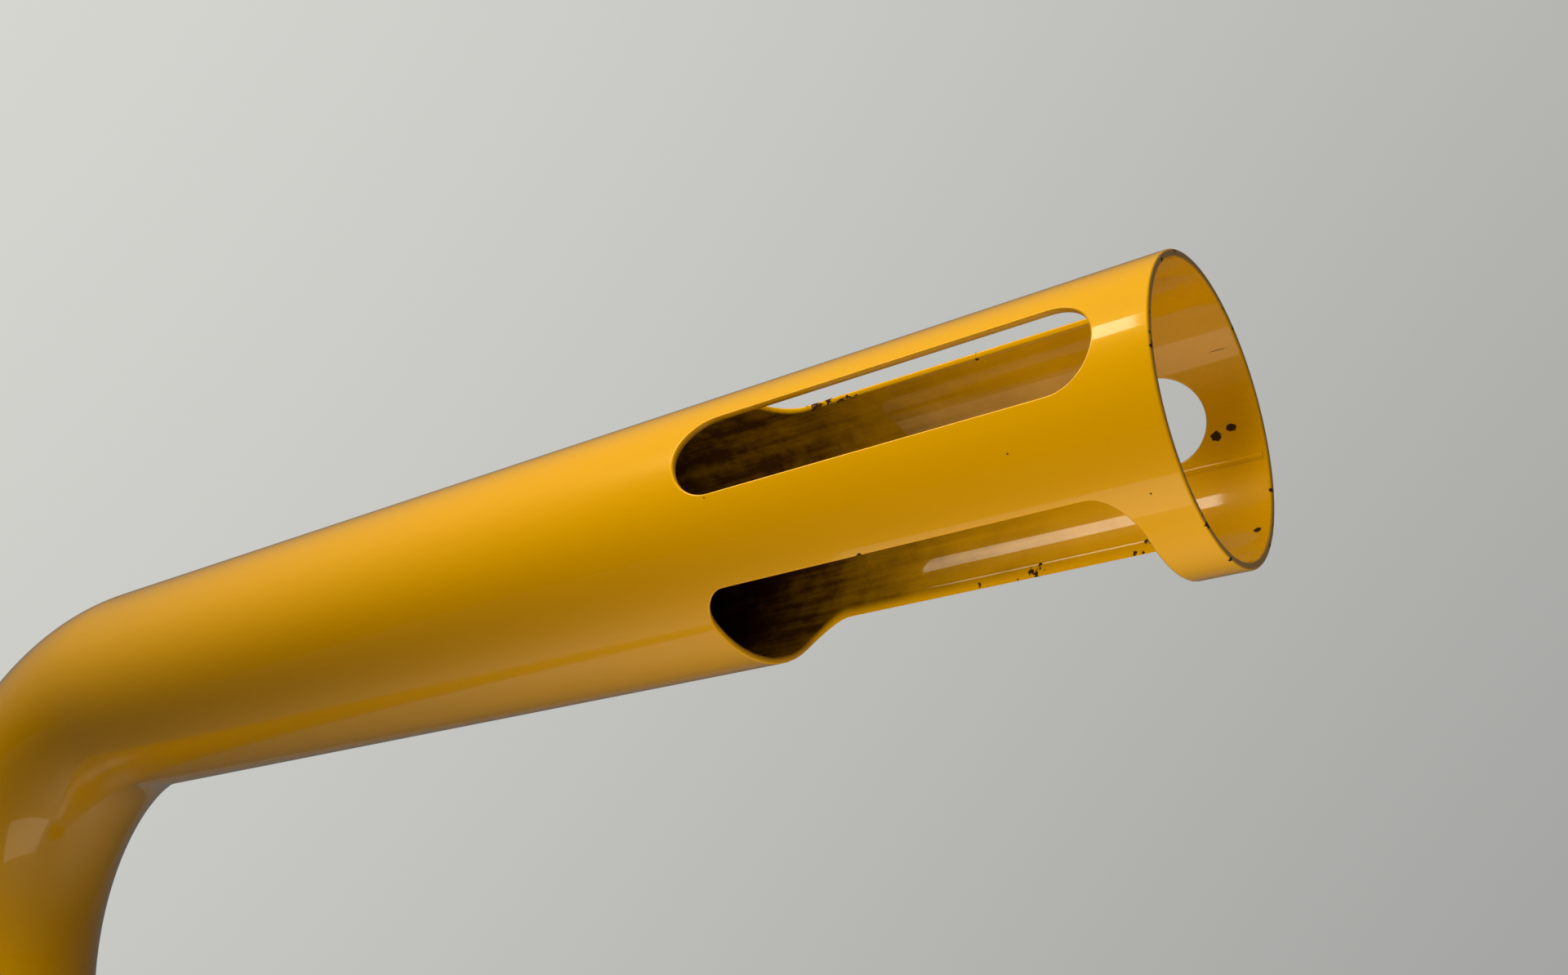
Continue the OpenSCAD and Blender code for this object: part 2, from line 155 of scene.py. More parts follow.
# The ground: a plain pale floor, which isn't part of the object.
plaster, tree = new_material("pale_floor_screed")
grain = put(tree, "ShaderNodeTexNoise", {"Scale": 3.0, "Detail": 6.0})
tone = put(tree, "ShaderNodeMix", {"Factor": grain.outputs["Fac"], "A": linear("#c4c4c0"),
                                   "B": linear("#cfcfcb")}, data_type="RGBA")
skin = put(tree, "ShaderNodeBsdfPrincipled", {"Base Color": tone.outputs["Result"], "Roughness": 0.8})
put(tree, "ShaderNodeOutputMaterial", {"Surface": skin.outputs["BSDF"]})
floor_half = 2.5
floor_mesh = bpy.data.meshes.new("floor")
floor_mesh.from_pydata([(x * floor_half, y * floor_half, 0) for x, y in ((-1, -1), (1, -1), (1, 1), (-1, 1))],
                       [], [(0, 1, 2, 3)])
floor_mesh.materials.append(plaster)
floor = bpy.data.objects.new("floor", floor_mesh)
bpy.context.scene.collection.objects.link(floor)

# ---------------------------------------------------------------------------
# Post tube: one steel tube with a weld seam inside and no joint to be seen at the
# bend, slotted at its open end and sprayed inside and out with gloss enamel. The
# paint rounds every cut edge, so the wall is built with rolled lips.
# ---------------------------------------------------------------------------
wall = 1.6 * MM
lip = 0.45 * MM
bend_r = 85 * MM
bore_r = tube_r - wall
arm_length = mouth.x - bend_r
bend_length = bend_r * math.pi / 2
leg_top = mouth.z - bend_r
foot_z = leg_low.z
tube_length = arm_length + bend_length + leg_top - foot_z
SIDE = Vector((0, 1, 0))

# Openings: middle along the tube, middle angle from the crown line, length, width, corner radius
opening_start, opening_length = 10.5 * MM, 93 * MM
opening_mid = opening_start + opening_length / 2
slot_width, slot_pitch = 18.4 * MM, 72
door_low, door_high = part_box("service_door")
door_mid = tube_length - ((door_low.z + door_high.z) / 2 - foot_z)
head_openings = [(opening_mid, turn, opening_length, slot_width, slot_width / 2)
                 for turn in (-slot_pitch, 0, slot_pitch)]
head_openings.append((opening_mid, 180, opening_length, 47.2 * MM, 7.2 * MM))
hatch = (door_mid, 0, 140 * MM, 40 * MM, 9 * MM)


def along(s):
    """The axis point at a distance s from the mouth, the way to the crown line there, and the way on."""
    turn = min(max(s - arm_length, 0) / bend_r, math.pi / 2)
    crown = Vector((-math.sin(turn), 0, math.cos(turn)))
    onward = Vector((-math.cos(turn), 0, -math.sin(turn)))
    point = Vector((bend_r, 0, leg_top)) + bend_r * crown
    point.x += max(arm_length - s, 0)
    point.z -= max(s - arm_length - bend_length, 0)
    return point, crown, onward


def on_wall(s, degrees, radius):
    """A point of the tube's wall and the way straight out of the wall there."""
    point, crown, _ = along(s)
    angle = math.radians(degrees)
    outward = crown * math.cos(angle) + SIDE * math.sin(angle)
    return point + outward * radius, outward


def outline(opening, grow, radius):
    """An opening's edge, grown by grow, where its straight-cut sides meet a wall of that radius.
    Each point is (s, degrees, outline's way out as (along, across))."""
    mid, turn, length, width, corner = opening
    half_s, half_y = length / 2 - corner, width / 2 - corner
    arc_steps, side_steps = 14, (max(2, round(half_y / (1.4 * MM))), round(half_s / (1.4 * MM)))
    points = []
    for quarter in range(4):
        start = quarter * math.pi / 2
        sign_s = 1 if quarter in (0, 3) else -1
        sign_y = 1 if quarter in (0, 1) else -1
        for step in range(arc_steps + 1):
            a = start + step / arc_steps * math.pi / 2
            ds, dy = math.cos(a), math.sin(a)
            points.append((sign_s * half_s + ds * (corner + grow),
                           sign_y * half_y + dy * (corner + grow), ds, dy))
        across = quarter % 2 == 1
        half = half_y if across else half_s
        steps = side_steps[0] if across else side_steps[1]
        last = points[-1]
        for step in range(1, steps if half > 1e-6 else 0):
            shift = -2 * half * step / steps
            moved = (last[0], last[1] + sign_y * shift) if across else (last[0] + sign_s * shift, last[1])
            points.append((*moved, last[2], last[3]))
    cleaned = [p for i, p in enumerate(points)
               if math.dist(p[:2], points[i - 1][:2]) > 1e-7]
    return [(mid + s, turn + math.degrees(math.asin(y / radius)), ds, dy) for s, y, ds, dy in cleaned]


def inside(opening, s, degrees, grow, radius):
    """Whether a place on a wall of that radius lies within an opening grown by grow."""
    mid, turn, length, width, corner = opening
    away = (degrees - turn + 180) % 360 - 180
    if abs(away) > 89:
        return False
    y = abs(math.sin(math.radians(away)) * radius)
    q = (max(abs(s - mid) - length / 2 + corner, 0), max(y - width / 2 + corner, 0))
    return math.hypot(*q) < corner + grow


spots, ways_out, faces, known, edge_gap = [], [], [], {}, []


def spot(s, degrees, radius, normal=None, gap=None):
    """The index of the wall's vertex there, made if it is new."""
    key = (round(s * 1e7), round(degrees * 1000) % 360000, round(radius * 1e7))
    if key not in known:
        point, outward = on_wall(s, degrees, radius)
        known[key] = len(spots)
        spots.append(point)
        ways_out.append(normal or (outward if radius > tube_r - wall / 2 else -outward))
        nearest = min([s] + [edge_distance(o, s, degrees, radius) for o in head_openings + [hatch]])
        edge_gap.append(nearest if gap is None else gap)
    return known[key]


def edge_distance(opening, s, degrees, radius):
    """How far a place on the wall is from an opening's edge."""
    mid, turn, length, width, corner = opening
    away = (degrees - turn + 180) % 360 - 180
    y = abs(math.radians(away)) * radius
    edge = math.asin(width / 2 / tube_r) * radius
    q = (max(abs(s - mid) - length / 2 + corner, 0), max(y - edge + corner, 0))
    return abs(math.hypot(*q) - corner)


cut_line = -110.0
ring_count = 144
ring = [cut_line + 360 * i / ring_count for i in range(ring_count)]


def ring_of(s, radius, normal=None):
    """A full ring of vertices at s."""
    return [spot(s, degrees, radius, normal) for degrees in ring]


def bridge(first, second, closed=True):
    """Quads between two rows of vertices."""
    for i in range(len(first) if closed else len(first) - 1):
        j = (i + 1) % len(first)
        quad = [first[i], first[j], second[j], second[i]]
        if len(set(quad)) == 4:
            faces.append(quad)


BANDS = (0, 0.9 * MM, 2.2 * MM)
LIP_BENDS = [math.radians(a) for a in (0, 22.5, 45, 67.5, 90)]


def pierced_sheet(s0, s1, openings, radius):
    """A stretch of wall from ring s0 to ring s1 round its openings, triangulated on the flat."""
    scale = 1 / MM
    flat, constraints = [], []
    rows = max(2, round((s1 - s0) / (2.6 * MM)))
    for row in range(rows + 1):
        s = s0 + (s1 - s0) * row / rows
        rim = row in (0, rows)
        for i in range(0, ring_count + 1, 1 if rim else 2):
            degrees = cut_line + 360 * i / ring_count
            if rim or not any(inside(o, s, degrees, BANDS[-1] + lip + 1.0 * MM, radius) for o in openings):
                flat.append((s, degrees))
    for opening in openings:
        start = len(flat)
        edge = outline(opening, lip + BANDS[-1], radius)
        flat.extend((s, degrees) for s, degrees, _, _ in edge)
        constraints.extend((start + i, start + (i + 1) % len(edge)) for i in range(len(edge)))
    coords = [Vector((s * scale, math.radians(degrees) * radius * scale)) for s, degrees in flat]
    made = geometry.delaunay_2d_cdt(coords, constraints, [], 0, 1e-6)
    places = [flat[source[0]] for source in made[3]]
    for triangle in made[2]:
        s = sum(places[i][0] for i in triangle) / 3
        degrees = sum(places[i][1] for i in triangle) / 3
        if not any(inside(o, s, degrees, lip + BANDS[-1] - 1e-6, radius) for o in openings):
            faces.append([spot(places[i][0], places[i][1], radius) for i in triangle])


def rolled_opening(opening):
    """The lips and cut face of one opening, from the outer sheet round to the inner one."""
    _, turn, _, _, _ = opening
    rows = []
    for band in reversed(BANDS):
        rows.append((lip + band, tube_r, 0, 1))
    rows.extend((lip * (1 - math.sin(a)), tube_r - lip * (1 - math.cos(a)), a, 1) for a in LIP_BENDS[1:])
    rows.extend((lip * (1 - math.sin(a)), bore_r + lip * (1 - math.cos(a)), a, -1)
                for a in reversed(LIP_BENDS[1:]))
    for band in BANDS:
        rows.append((lip + band, bore_r, 0, -1))
    previous = None
    for grow, radius, bend, sign in rows:
        row = []
        for s, degrees, ds, dy in outline(opening, grow, radius):
            _, crown, onward = along(s)
            _, outward = on_wall(s, degrees, radius)
            angle = math.radians(turn)
            across = SIDE * math.cos(angle) - crown * math.sin(angle)
            into_hole = -(onward * ds + across * dy)
            normal = (outward * sign * math.cos(bend) + into_hole * math.sin(bend)).normalized()
            row.append(spot(s, degrees, radius, normal, gap=grow))
        if previous:
            bridge(previous, row)
        previous = row


head_end = 116 * MM
hatch_from, hatch_to = door_mid - 82 * MM, door_mid + 82 * MM
for radius in (tube_r, bore_r):
    pierced_sheet(lip, head_end, head_openings, radius)
    pierced_sheet(hatch_from, hatch_to, [hatch], radius)
    stations = [head_end + (arm_length - head_end) * i / 24 for i in range(25)]
    stations += [arm_length + bend_length * i / 48 for i in range(1, 49)]
    bend_end = arm_length + bend_length
    stations += [bend_end + (hatch_from - bend_end) * i / 40 for i in range(1, 41)]
    for s0, s1 in zip(stations, stations[1:]):
        bridge(ring_of(s0, radius), ring_of(s1, radius))
    foot_rows = [hatch_to + (tube_length - hatch_to) * i / 14 for i in range(15)]
    for s0, s1 in zip(foot_rows, foot_rows[1:]):
        bridge(ring_of(s0, radius), ring_of(s1, radius))
for opening in head_openings + [hatch]:
    rolled_opening(opening)

# The mouth's rolled rim, and the square end that stands on the flange
rim_rows = []
for side, base in ((1, tube_r), (-1, bore_r)):
    rows = [(lip * (1 - math.sin(a)), base - side * lip * (1 - math.cos(a)), a, side) for a in LIP_BENDS]
    rim_rows += rows if side == 1 else rows[::-1]
previous = None
for s, radius, bend, side in rim_rows:
    row = []
    for degrees in ring:
        _, outward = on_wall(s, degrees, radius)
        row.append(spot(s, degrees, radius, (outward * side * math.cos(bend)
                                             + Vector((1, 0, 0)) * math.sin(bend)).normalized(), gap=s))
    if previous:
        bridge(previous, row)
    previous = row
bridge(ring_of(tube_length, tube_r), ring_of(tube_length, bore_r))

tube_mesh = bpy.data.meshes.new("enamelled_tube")
tube_mesh.from_pydata(spots, [], faces)
tube_mesh.attributes.new("straightened_mm", "FLOAT_VECTOR", "POINT")
tube_mesh.attributes.new("edge_gap_mm", "FLOAT", "POINT")
unbent = []
for s, degrees, radius in known:
    angle, radius_mm = math.radians(degrees / 1000), radius / 1e4
    unbent += [s / 1e4, radius_mm * math.cos(angle), radius_mm * math.sin(angle)]
tube_mesh.attributes["straightened_mm"].data.foreach_set("vector", unbent)
tube_mesh.attributes["edge_gap_mm"].data.foreach_set("value", [max(gap, 0) / MM for gap in edge_gap])


def closed_piece(name, mesh, normals=None):
    """A scene object of a closed mesh whose faces all look outwards, shaded smooth but for its edges."""
    shape = bmesh.new()
    shape.from_mesh(mesh)
    bmesh.ops.recalc_face_normals(shape, faces=shape.faces)
    shape.to_mesh(mesh)
    shape.free()
    mesh.shade_smooth()
    if normals:
        mesh.normals_split_custom_set_from_vertices(normals)
    else:
        mesh.set_sharp_from_angle(angle=math.radians(38))
    piece = bpy.data.objects.new(name, mesh)
    bpy.context.scene.collection.objects.link(piece)
    return piece


tube = closed_piece("enamelled_tube", tube_mesh, ways_out)

# Gloss stoving enamel on steel: a smooth, slightly rippled film, deep yellow-orange. The cut
# edges have lost flakes of it down to brown primer and rust.
def enamel_film(tree, place, chip, dirt_and_shade, dirt_and_shade_tint):
    """The enamel's shader, from the place in mm, where it is chipped, and how far it is darkened towards the
    dirt tint, from 0 to 1: real dirt or dust, and inside the tube painted shade too.
    """
    # broad unevenness of the film, about 60 mm
    cloud = put(tree, "ShaderNodeTexNoise", {"Vector": place, "Scale": 1 / 60, "Detail": 3.0})
    film = put(tree, "ShaderNodeMix", {"Factor": cloud.outputs["Fac"], "A": linear("#f3ab00"),
                                       "B": linear("#f2ae00")}, data_type="RGBA")
    # darkening towards the dirt tint: real dirt or dust, and painted shade inside the tube
    dirtied_and_shaded = put(tree, "ShaderNodeMix", {"Factor": dirt_and_shade, "A": film.outputs["Result"],
                                         "B": linear(dirt_and_shade_tint)}, data_type="RGBA")
    bare = put(tree, "ShaderNodeMix", {"Factor": chip, "A": dirtied_and_shaded.outputs["Result"],
                                       "B": linear("#3a2413")}, data_type="RGBA")
    # orange peel, 1.5 mm across, and the step of one paint film, 0.08 mm, down into each chip
    peel = put(tree, "ShaderNodeTexNoise", {"Vector": place, "Scale": 1 / 1.5, "Detail": 1.0})
    ripple = put(tree, "ShaderNodeBump", {"Height": peel.outputs["Fac"], "Strength": 0.04,
                                          "Distance": 0.2 * MM})
    step = put(tree, "ShaderNodeBump", {"Height": chip, "Strength": 0.8, "Distance": 0.08 * MM,
                                        "Normal": ripple.outputs[0]}, invert=True)
    matt = put(tree, "ShaderNodeMath", {0: dirt_and_shade, 1: 0.25, 2: 0.26}, operation="MULTIPLY_ADD")
    matt = put(tree, "ShaderNodeMath", {0: chip, 1: 0.4, 2: matt.outputs[0]}, operation="MULTIPLY_ADD")
    worn = put(tree, "ShaderNodeMath", {0: chip, 1: dirt_and_shade}, operation="MAXIMUM")
    gloss = put(tree, "ShaderNodeMapRange", {"Value": worn.outputs[0], "From Min": 0.1, "From Max": 1.0,
                                             "To Min": 1.0, "To Max": 0.0})
    sheen = put(tree, "ShaderNodeMapRange", {"Value": dirt_and_shade, "From Max": 0.5, "To Min": 0.5, "To Max": 0.05})
    skin = put(tree, "ShaderNodeBsdfPrincipled", {
        "Base Color": bare.outputs["Result"], "Roughness": matt.outputs[0], "Normal": step.outputs[0],
        "Specular IOR Level": sheen.outputs[0],
        "Specular Tint": linear("#ffc000"), "Coat Weight": gloss.outputs[0], "Coat Roughness": 0.05,
        "Coat IOR": 1.5})
    put(tree, "ShaderNodeOutputMaterial", {"Surface": skin.outputs["BSDF"]})


def flakes(tree, place, size, gap, within, gain, loss, least, spread=None, ragged=0.5):
    """Where paint has flaked: patches of that size in mm, likelier the nearer an edge is, and none
    further from it than about within mm. A higher least leaves fewer of them."""
    flake = put(tree, "ShaderNodeTexNoise", {"Vector": place, "Scale": 1 / size, "Detail": 4.0,
                                             "Roughness": ragged})
    reach = put(tree, "ShaderNodeMapRange", {"Value": gap, "From Min": 0.0, "From Max": within,
                                             "To Min": gain, "To Max": loss})
    chip = put(tree, "ShaderNodeMath", {0: flake.outputs["Fac"], 1: reach.outputs[0]}, operation="ADD")
    if spread:
        chip = put(tree, "ShaderNodeMath", {0: chip.outputs[0], 1: spread}, operation="ADD")
    return put(tree, "ShaderNodeMapRange", {"Value": chip.outputs[0], "From Min": least,
                                            "From Max": least + 0.03})


enamel, tree = new_material("gloss_enamel_on_steel")
run = put(tree, "ShaderNodeAttribute", attribute_name="straightened_mm").outputs["Vector"]
gap = put(tree, "ShaderNodeAttribute", attribute_name="edge_gap_mm").outputs["Fac"]
parts = put(tree, "ShaderNodeSeparateXYZ", {"Vector": run})
depth = put(tree, "ShaderNodeMath", {0: parts.outputs["Y"], 1: parts.outputs["Y"]}, operation="MULTIPLY")
depth = put(tree, "ShaderNodeMath", {0: parts.outputs["Z"], 1: parts.outputs["Z"], 2: depth.outputs[0]},
            operation="MULTIPLY_ADD")
depth = put(tree, "ShaderNodeMath", {0: depth.outputs[0]}, operation="SQRT")
inner = put(tree, "ShaderNodeMapRange", {"Value": depth.outputs[0], "From Min": (tube_r - 0.3 * wall) / MM,
                                         "From Max": (bore_r + 0.05 * wall) / MM})
# grime inside: long smears along the tube, 3 mm wide and 60 mm long, and 9 mm blotches
smear_map = put(tree, "ShaderNodeMapping", {"Vector": run, "Scale": (1 / 60, 1 / 3, 1 / 3)})
smear = put(tree, "ShaderNodeTexNoise", {"Vector": smear_map.outputs[0], "Scale": 1.0, "Detail": 5.0,
                                         "Roughness": 0.65})
blotch = put(tree, "ShaderNodeTexNoise", {"Vector": run, "Scale": 1 / 9, "Detail": 6.0, "Roughness": 0.7})
grime_and_shade = put(tree, "ShaderNodeMath", {0: smear.outputs["Fac"], 1: blotch.outputs["Fac"]}, operation="ADD")
grime_and_shade = put(tree, "ShaderNodeMapRange", {"Value": grime_and_shade.outputs[0], "From Min": 0.75, "From Max": 1.35})
# painted shade: the smears grow from a tenth at the mouth to full strength 110 mm in, so the bore darkens
# inwards where less light reaches
inward_shade = put(tree, "ShaderNodeMapRange", {"Value": parts.outputs["X"], "From Min": 4, "From Max": 110,
                                        "To Min": 0.1, "To Max": 1.0})
grime_and_shade = put(tree, "ShaderNodeMath", {0: grime_and_shade.outputs[0], 1: inward_shade.outputs[0]}, operation="MULTIPLY")
# and an even dark brown painted shade, darker with each 10 mm inwards into the bore, where less light reaches
film = put(tree, "ShaderNodeMapRange", {"Value": parts.outputs["X"], "From Min": 8, "From Max": 110,
                                        "To Min": 0.04, "To Max": 0.78})
grime_and_shade = put(tree, "ShaderNodeMath", {0: grime_and_shade.outputs[0], 1: 0.4, 2: film.outputs[0]},
            operation="MULTIPLY_ADD", use_clamp=True)
grime_and_shade = put(tree, "ShaderNodeMath", {0: grime_and_shade.outputs[0], 1: inner.outputs[0]}, operation="MULTIPLY")
# splashes of dirt on the lowest 90 mm of the leg
foot = put(tree, "ShaderNodeMapRange", {"Value": parts.outputs["X"], "From Min": tube_length / MM - 90,
                                        "From Max": tube_length / MM, "To Max": 0.9})
splash = put(tree, "ShaderNodeMath", {0: foot.outputs[0], 1: blotch.outputs["Fac"]}, operation="MULTIPLY")
grime_and_shade = put(tree, "ShaderNodeMath", {0: grime_and_shade.outputs[0], 1: splash.outputs[0]}, operation="MAXIMUM")
# chips: flakes 0.5 to 2 mm across, only where an edge is near
where = put(tree, "ShaderNodeTexNoise", {"Vector": run, "Scale": 1 / 14, "Detail": 2.0})
spread = put(tree, "ShaderNodeMapRange", {"Value": where.outputs["Fac"], "From Min": 0.45, "From Max": 0.7,
                                          "To Min": -0.16, "To Max": 0.1})
chip = flakes(tree, run, 1.6, gap, 1.8, 0.13, -0.25, 0.71, spread=spread.outputs[0], ragged=0.6)
# knocks at the open end: mm from the mouth, degrees from the crown, radius in mm, half width in mm,
# and how many times longer than wide; the last is a scratch
knocks = ((9.3, 83, 28.4, 1.1, 1.0), (6.1, 81, 28.4, 0.9, 1.2), (2.5, 131, 28.4, 0.75, 1.0),
          (6.2, -130, 30, 0.2, 1.0), (28.4, -105.5, 30, 0.18, 1.0), (94.7, -91.6, 30, 0.18, 1.0),
          (0.2, -35, 28.9, 0.5, 1.2), (0.2, -16, 29.7, 0.4, 1.0), (0.2, -168.5, 29.7, 0.5, 1.0),
          (0.2, 111, 28.7, 0.5, 1.0), (4.2, 49, 28.4, 0.08, 22.0))
ragged = put(tree, "ShaderNodeTexNoise", {"Vector": run, "Scale": 1 / 0.7, "Detail": 2.0})
for s, degrees, radius, half, stretch in knocks:
    angle = math.radians(degrees)
    from_it = put(tree, "ShaderNodeVectorMath", {
        0: run, 1: (s, radius * math.cos(angle), radius * math.sin(angle))}, operation="SUBTRACT")
    from_it = put(tree, "ShaderNodeVectorMath", {0: from_it.outputs[0], 1: (1 / stretch, 1, 1)},
                  operation="MULTIPLY")
    far = put(tree, "ShaderNodeVectorMath", {0: from_it.outputs[0]}, operation="LENGTH").outputs["Value"]
    far = put(tree, "ShaderNodeMath", {0: ragged.outputs["Fac"], 1: half, 2: far}, operation="MULTIPLY_ADD")
    knock = put(tree, "ShaderNodeMapRange", {"Value": far.outputs[0], "From Min": 1.5 * half,
                                             "From Max": 1.35 * half})
    chip = put(tree, "ShaderNodeMath", {0: chip.outputs[0], 1: knock.outputs[0]}, operation="MAXIMUM")
# the dark brown tint carries both the grime inside and the painted shade deeper in the bore
enamel_film(tree, run, chip.outputs[0], grime_and_shade.outputs[0], "#442706")
tube_mesh.materials.append(enamel)
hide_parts("leg_tube", "elbow", "arm_tube")
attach(tube, "post")

# ---------------------------------------------------------------------------
# Tube seam: the bead that electric welding squeezes into the bore when strip is
# rolled into tube. It runs the tube's whole length and is enamelled with it.
# ---------------------------------------------------------------------------
seam_angle, seam_half, seam_high, seam_root = 95.0, 0.9 * MM, 0.3 * MM, 0.15 * MM
seam_points, seam_run, seam_section, seam_steps = [], [], 8, 900
seam_stations = [1.0 * MM + (tube_length - 2 * MM) * i / seam_steps for i in range(seam_steps + 1)]
for s in seam_stations:
    wave = 0.25 * noise.noise(Vector((s / (9 * MM), 0, 0)))
    for i in range(seam_section + 1):
        across = 2 * i / seam_section - 1
        height = seam_high * (1 - across * across) * (1 + wave)
        degrees = seam_angle + math.degrees((across * seam_half + wave * 0.3 * MM) / bore_r)
        seam_points.append(on_wall(s, degrees, bore_r - height)[0])
        seam_run += [s / MM, bore_r / MM * math.cos(math.radians(degrees)),
                     bore_r / MM * math.sin(math.radians(degrees))]
    for across in (1, -1):
        degrees = seam_angle + math.degrees(across * seam_half / bore_r)
        seam_points.append(on_wall(s, degrees, bore_r + seam_root)[0])
        seam_run += [s / MM, bore_r / MM, 0]


def join_rings(count, size, loop=False):
    """Quads between rings of vertices that follow each other, and a face over each open end."""
    quads = []
    for i in range(count if loop else count - 1):
        low, high = i * size, (i + 1) % count * size
        quads += [(low + j, low + (j + 1) % size, high + (j + 1) % size, high + j) for j in range(size)]
    if not loop:
        quads += [tuple(range(size))[::-1], tuple(range((count - 1) * size, count * size))]
    return quads


seam_mesh = bpy.data.meshes.new("tube_seam")
seam_mesh.from_pydata(seam_points, [], join_rings(len(seam_stations), seam_section + 3))
seam_mesh.attributes.new("straightened_mm", "FLOAT_VECTOR", "POINT").data.foreach_set("vector", seam_run)
seam_mesh.attributes.new("edge_gap_mm", "FLOAT", "POINT").data.foreach_set("value", [9.0] * len(seam_points))
seam = closed_piece("tube_seam", seam_mesh)
seam_mesh.materials.append(enamel)
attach(seam, "post")


# ---------------------------------------------------------------------------
# Base flange: a 12 mm steel disc, laser-cut and drilled, then enamelled with the
# post. It stands on the ground, so it is dusty, and its edges and bolt holes are
# chipped by spanners.
# ---------------------------------------------------------------------------
def place_mm(tree):
    """Where a point lies on its piece, in millimetres."""
    here = put(tree, "ShaderNodeTexCoord").outputs["Object"]
    return put(tree, "ShaderNodeVectorMath", {0: here, "Scale": 1 / MM}, operation="SCALE").outputs[0]


def dressed(node, material, round_mm=0.0):
    """Gives a carried-over CAD piece its material, and rounds its edges by that much."""
    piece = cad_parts[node]
    piece.data.materials.clear()
    piece.data.materials.append(material)
    if round_mm:
        piece.modifiers.new("joined", "WELD").merge_threshold = 0.001 * MM
        edge = piece.modifiers.new("rounded_edges", "BEVEL")
        edge.width = round_mm * MM
        edge.segments = 3
        edge.limit_method = "ANGLE"
        edge.angle_limit = math.radians(40)
        edge.harden_normals = True
        edge.use_clamp_overlap = True
    return piece


flange_low, flange_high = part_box("base_flange")
flange_r = (flange_high.x - flange_low.x) / 2
anchor_r, anchor_hole_r = 80 * MM, 7 * MM
plate, tree = new_material("gloss_enamel_on_plate")
place = place_mm(tree)
mirrored = put(tree, "ShaderNodeVectorMath", {0: place}, operation="ABSOLUTE").outputs[0]
flat = put(tree, "ShaderNodeVectorMath", {0: mirrored, 1: (1, 1, 0)}, operation="MULTIPLY").outputs[0]
radial = put(tree, "ShaderNodeVectorMath", {0: flat}, operation="LENGTH").outputs["Value"]
rim = put(tree, "ShaderNodeMath", {0: flange_r / MM, 1: radial}, operation="SUBTRACT")
anchor = anchor_r / MM / math.sqrt(2)
to_anchor = put(tree, "ShaderNodeVectorMath", {0: flat, 1: (anchor, anchor, 0)}, operation="DISTANCE")
hole = put(tree, "ShaderNodeMath", {0: to_anchor.outputs["Value"], 1: anchor_hole_r / MM},
           operation="SUBTRACT")
edge = put(tree, "ShaderNodeMath", {0: rim.outputs[0], 1: hole.outputs[0]}, operation="MINIMUM")
# flakes 1 to 3 mm across within 3 mm of an edge
chip = flakes(tree, place, 2.2, edge.outputs[0], 3.5, 0.12, -0.3, 0.66)
# dust in 12 mm drifts, on faces that look up
drift = put(tree, "ShaderNodeTexNoise", {"Vector": place, "Scale": 1 / 12, "Detail": 7.0, "Roughness": 0.65})
facing = put(tree, "ShaderNodeSeparateXYZ", {"Vector": put(tree, "ShaderNodeNewGeometry").outputs["Normal"]})
dust = put(tree, "ShaderNodeMapRange", {"Value": drift.outputs["Fac"], "From Min": 0.48, "From Max": 0.78,
                                        "To Max": 0.35})
dust = put(tree, "ShaderNodeMath", {0: dust.outputs[0], 1: facing.outputs["Z"]}, operation="MULTIPLY",
           use_clamp=True)
enamel_film(tree, place, chip.outputs[0], dust.outputs[0], "#8f8168")
dressed("base_flange", plate, 0.5)

# ---------------------------------------------------------------------------
# Base weld: a fillet bead laid by hand round the foot of the tube, 6 mm on the
# leg, with the overlapping scales that each dip of the wire leaves, enamelled over.
# ---------------------------------------------------------------------------
weld_low, weld_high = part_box("base_weld")
weld_foot, weld_top, weld_toe = weld_low.z, weld_high.z, weld_high.x
scale_count, weld_steps, weld_section = 74, 740, 12
weld_points = []
for step in range(weld_steps):
    angle = step / weld_steps * 2 * math.pi
    wobble = noise.noise(Vector((math.cos(angle), math.sin(angle), 0)) * 3.0)
    for i in range(weld_section + 1):
        t = i / weld_section
        phase = (angle * scale_count / (2 * math.pi) + 0.42 * math.sin(math.pi * t)) % 1
        scale_height = 0.34 * MM * (phase ** 1.6 - 0.3)
        swell = (0.75 * MM + scale_height) * math.sin(math.pi * t)
        short = (0.35 * MM + 0.3 * MM * wobble) * (1 - t) + 0.02 * MM
        r = weld_toe - short - (weld_toe - short - tube_r) * t + swell * 0.7
        z = weld_foot + (weld_top - weld_foot - 0.4 * MM + 0.4 * MM * wobble) * t + swell * 0.7
        weld_points.append((r * math.cos(angle), r * math.sin(angle), max(z, weld_foot)))
    root_r = tube_r - 0.3 * MM
    weld_points.append((root_r * math.cos(angle), root_r * math.sin(angle), weld_foot))
weld_mesh = bpy.data.meshes.new("weld_bead")
weld_mesh.from_pydata(weld_points, [], join_rings(weld_steps, weld_section + 2, loop=True))
weld_bead = closed_piece("weld_bead", weld_mesh)
weld_mesh.materials.append(plate)
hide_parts("base_weld")
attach(weld_bead, "post")

